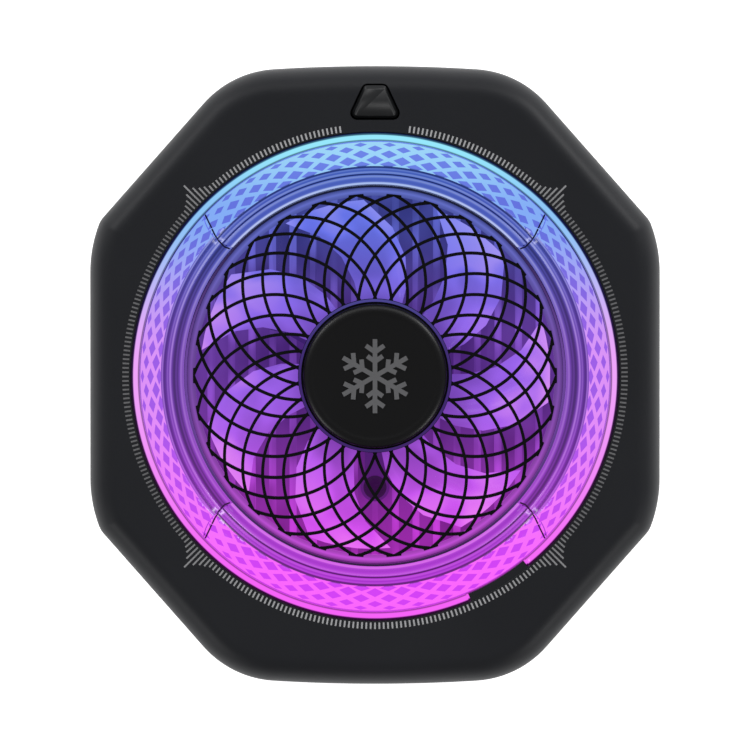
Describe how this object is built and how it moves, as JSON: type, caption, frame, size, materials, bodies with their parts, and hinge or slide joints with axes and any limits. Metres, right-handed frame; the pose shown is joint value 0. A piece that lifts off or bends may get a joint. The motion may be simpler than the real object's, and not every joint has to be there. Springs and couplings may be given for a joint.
{
  "type": "phone cooling fan",
  "caption": "Magnetic phone cooler: octagonal black housing with a mode button, a lit diamond-lattice ring, a spirograph grille over an axial fan, and a cold plate at the back.",
  "frame": {"origin": "centre of the face that meets the phone, on the fan's axis", "axes": "+Z out of the grille along the fan's axis, +Y toward the mode button, +X to the right seen from the front"},
  "size_m": [0.0662, 0.0718, 0.0283],
  "materials": {
    "shell_black": "fine matte texture",
    "shell_rear": "fine matte texture",
    "contact_rubber": "soft matte silicone",
    "film_grey": "satin film",
    "bare_aluminium": "satin",
    "magnet_nickel": "plated",
    "steel": "satin",
    "dark_steel": "blackened",
    "ceramic": "matte",
    "pellet": "matte",
    "lead_wire": "smooth insulation",
    "foam": "fine foam",
    "board_green": "solder mask",
    "socket_steel": "polished",
    "black_plastic": "matte",
    "brass": "satin",
    "copper": "enamelled wire",
    "ferrite": "matte",
    "tray_white": "matte",
    "light_grey": "matte",
    "led": "clear",
    "fan_plastic": "translucent, lit from the side",
    "bright_ring": "lit light pipe",
    "lens_clear": "lit light guide",
    "lattice_lines": "lit raised lattice",
    "throat_clear": "lit light guide",
    "bezel_black": "gloss",
    "grille_black": "satin",
    "cap_black": "satin",
    "trim_lit": "lit line"
  },
  "bodies": {
    "housing": {"front_cover": "shell_black", "rear_cover": "shell_rear", "contact_ring": "contact_rubber", "thermal_film": "film_grey", "cold_plate": "bare_aluminium", "ring_magnets": "magnet_nickel", "shunt_ring": "steel", "tec_cold_ceramic": "ceramic", "tec_pellets": "pellet", "tec_hot_ceramic": "ceramic", "tec_leads": "lead_wire", "foam_gasket": "foam", "heatsink": "bare_aluminium", "heatsink_screws": "steel", "case_screws": "dark_steel", "main_board": "board_green", "usb_socket": "socket_steel", "usb_tongue": "black_plastic", "controller_chips": "black_plastic", "fan_frame": "black_plastic", "fan_screws": "dark_steel", "bearing": "brass", "stator_core": "steel", "stator_coils": "copper", "fan_board": "board_green", "light_tray": "tray_white", "tray_screws": "steel", "led_board": "tray_white", "leds": "led", "light_ring": "bright_ring", "lens_top": "lens_clear", "lens_bottom": "lens_clear", "lens_left": "lens_clear", "lens_right": "lens_clear", "lattice": "lattice_lines", "throat_ring": "throat_clear", "bezel": "bezel_black", "grille": "grille_black", "hub_cap": "cap_black", "hub_trim": "trim_lit", "tact_switch": "black_plastic", "button_board": "board_green"},
    "rotor": {"impeller": "fan_plastic", "rotor_yoke": "steel", "rotor_magnet": "ferrite", "shaft": "steel", "shaft_clip": "steel"},
    "button": {"button_cap": "shell_black", "switch_plunger": "light_grey"}
  },
  "joints": [
    {"name": "fan_spin", "type": "hinge", "parent": "housing", "child": "rotor", "pos_m": [0, 0, 0.02], "axis": [0, 0, 1], "continuous": true},
    {"name": "button_press", "type": "slide", "parent": "housing", "child": "button", "axis": [0, 0, -1], "range_m": [0, 0.0004], "stiffness_N_per_m": 400}
  ]
}
